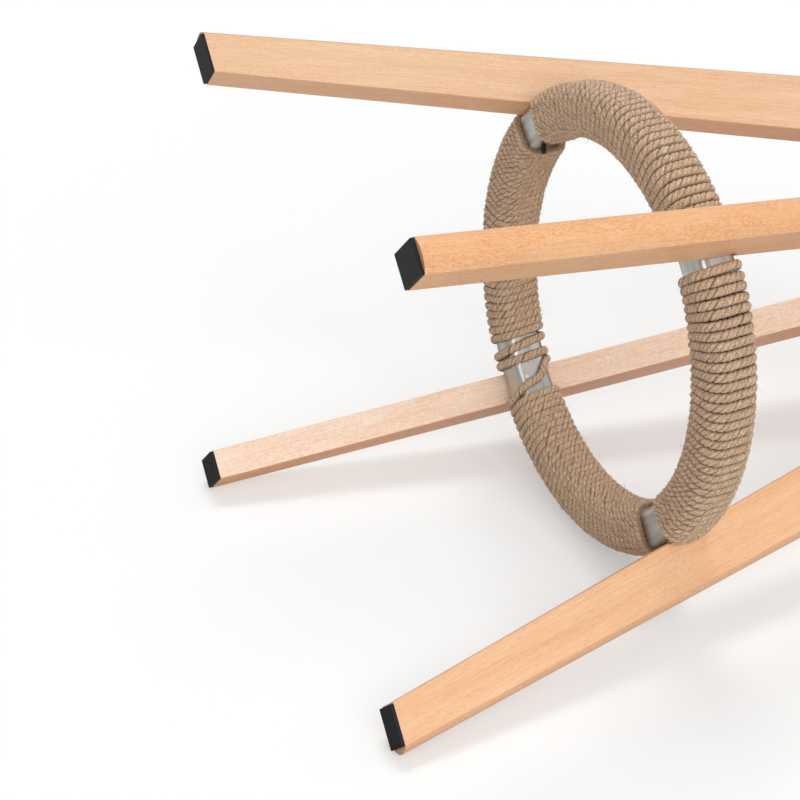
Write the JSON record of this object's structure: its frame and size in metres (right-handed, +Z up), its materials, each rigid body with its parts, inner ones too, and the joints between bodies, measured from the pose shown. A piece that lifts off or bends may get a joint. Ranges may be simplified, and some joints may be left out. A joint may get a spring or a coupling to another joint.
{
  "type": "bar stool",
  "caption": "Bar stool with splayed beech legs, a square-tube footrest ring wound with jute rope, black felt feet and a round wooden seat.",
  "frame": {"origin": "on the floor, at the middle of the four foot pads and under the seat's centre", "axes": "+Z up from the floor to the seat; the legs stand at 45 degrees between the X and Y axes; -Y is the front"},
  "size_m": [0.4004, 0.4004, 0.648],
  "materials": {
    "beech_leg": "satin clear lacquer over steamed beech",
    "beech_seat": "satin clear lacquer over steamed beech",
    "black_felt": "dense matt black felt",
    "bright_steel": "bright brushed stainless tube",
    "jute_rope": "three-strand natural jute, slightly hairy",
    "black_steel": "black oxide fasteners",
    "plated_insert": "plain threaded insert",
    "black_bracket": "satin black powder coat"
  },
  "bodies": {
    "root": {"leg_front_left": "beech_leg", "foot_pad_front_left": "black_felt", "leg_front_right": "beech_leg", "foot_pad_front_right": "black_felt", "leg_rear_right": "beech_leg", "foot_pad_rear_right": "black_felt", "leg_rear_left": "beech_leg", "foot_pad_rear_left": "black_felt", "footrest_ring": "bright_steel", "rope_wrap_rear": "jute_rope", "rope_wrap_left": "jute_rope", "rope_wrap_front": "jute_rope", "rope_wrap_right": "jute_rope", "ring_pins": "black_steel", "bracket_bolts": "black_steel", "bracket_washers": "black_steel", "bracket_inserts": "plated_insert", "seat_bracket": "black_bracket", "seat": "beech_seat", "seat_screws": "black_steel"}
  },
  "joints": []
}
